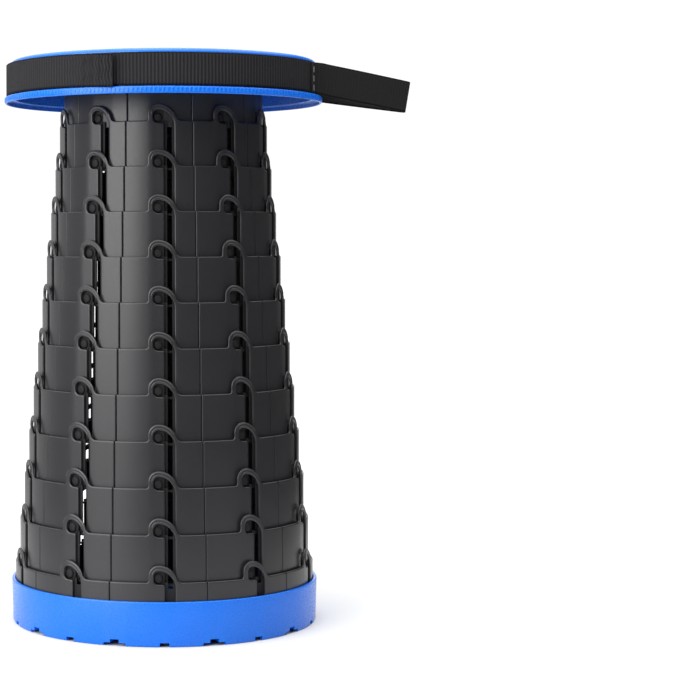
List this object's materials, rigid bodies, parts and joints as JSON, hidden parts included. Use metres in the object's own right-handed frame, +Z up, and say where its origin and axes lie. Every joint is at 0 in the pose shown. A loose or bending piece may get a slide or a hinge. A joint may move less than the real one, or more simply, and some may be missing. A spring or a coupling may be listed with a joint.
{
  "type": "telescopic camping stool",
  "caption": "Collapsible camping stool: nested charcoal rings locked by bayonet hooks rise between a blue base tray and a blue seat lid with a webbing carry strap.",
  "frame": {"origin": "centre of the base tray's underside, on the floor", "axes": "+Z up along the stool's axis, -Y the front with a column of hooks, +X towards the carry loop"},
  "size_m": [0.3255, 0.2554, 0.45],
  "materials": {
    "charcoal_plastic": "satin moulded polypropylene",
    "blue_plastic": "satin moulded polypropylene",
    "webbing": "ribbed woven polypropylene",
    "black_plastic": "satin moulded acetal",
    "screw_steel": "zinc plated"
  },
  "bodies": {
    "base": {"base_tray": "blue_plastic", "ring_11": "charcoal_plastic", "base_screws": "screw_steel"},
    "ring_10_body": {"ring_10": "charcoal_plastic"},
    "ring_09_body": {"ring_09": "charcoal_plastic"},
    "ring_08_body": {"ring_08": "charcoal_plastic"},
    "ring_07_body": {"ring_07": "charcoal_plastic"},
    "ring_06_body": {"ring_06": "charcoal_plastic"},
    "ring_05_body": {"ring_05": "charcoal_plastic"},
    "ring_04_body": {"ring_04": "charcoal_plastic"},
    "ring_03_body": {"ring_03": "charcoal_plastic"},
    "ring_02_body": {"ring_02": "charcoal_plastic"},
    "ring_01_body": {"ring_01": "charcoal_plastic"},
    "lid": {"seat_lid": "blue_plastic", "ring_00": "charcoal_plastic", "lid_screws": "screw_steel", "strap": "webbing", "carry_loop": "webbing", "strap_slider": "black_plastic"}
  },
  "joints": [
    {"name": "ring_10_slide", "type": "slide", "parent": "base", "child": "ring_10_body", "axis": [0, 0, 1], "range_m": [-0.0348, 0]},
    {"name": "ring_09_slide", "type": "slide", "parent": "ring_10_body", "child": "ring_09_body", "axis": [0, 0, 1], "range_m": [-0.0348, 0]},
    {"name": "ring_08_slide", "type": "slide", "parent": "ring_09_body", "child": "ring_08_body", "axis": [0, 0, 1], "range_m": [-0.0348, 0]},
    {"name": "ring_07_slide", "type": "slide", "parent": "ring_08_body", "child": "ring_07_body", "axis": [0, 0, 1], "range_m": [-0.0348, 0]},
    {"name": "ring_06_slide", "type": "slide", "parent": "ring_07_body", "child": "ring_06_body", "axis": [0, 0, 1], "range_m": [-0.0348, 0]},
    {"name": "ring_05_slide", "type": "slide", "parent": "ring_06_body", "child": "ring_05_body", "axis": [0, 0, 1], "range_m": [-0.0348, 0]},
    {"name": "ring_04_slide", "type": "slide", "parent": "ring_05_body", "child": "ring_04_body", "axis": [0, 0, 1], "range_m": [-0.0348, 0]},
    {"name": "ring_03_slide", "type": "slide", "parent": "ring_04_body", "child": "ring_03_body", "axis": [0, 0, 1], "range_m": [-0.0348, 0]},
    {"name": "ring_02_slide", "type": "slide", "parent": "ring_03_body", "child": "ring_02_body", "axis": [0, 0, 1], "range_m": [-0.0348, 0]},
    {"name": "ring_01_slide", "type": "slide", "parent": "ring_02_body", "child": "ring_01_body", "axis": [0, 0, 1], "range_m": [-0.0348, 0]},
    {"name": "lid_slide", "type": "slide", "parent": "ring_01_body", "child": "lid", "axis": [0, 0, 1], "range_m": [-0.0348, 0]}
  ],
  "couplings": [
    {"joint": "ring_09_slide", "follows": "ring_10_slide", "ratio": 1},
    {"joint": "ring_08_slide", "follows": "ring_10_slide", "ratio": 1},
    {"joint": "ring_07_slide", "follows": "ring_10_slide", "ratio": 1},
    {"joint": "ring_06_slide", "follows": "ring_10_slide", "ratio": 1},
    {"joint": "ring_05_slide", "follows": "ring_10_slide", "ratio": 1},
    {"joint": "ring_04_slide", "follows": "ring_10_slide", "ratio": 1},
    {"joint": "ring_03_slide", "follows": "ring_10_slide", "ratio": 1},
    {"joint": "ring_02_slide", "follows": "ring_10_slide", "ratio": 1},
    {"joint": "ring_01_slide", "follows": "ring_10_slide", "ratio": 1},
    {"joint": "lid_slide", "follows": "ring_10_slide", "ratio": 1}
  ]
}
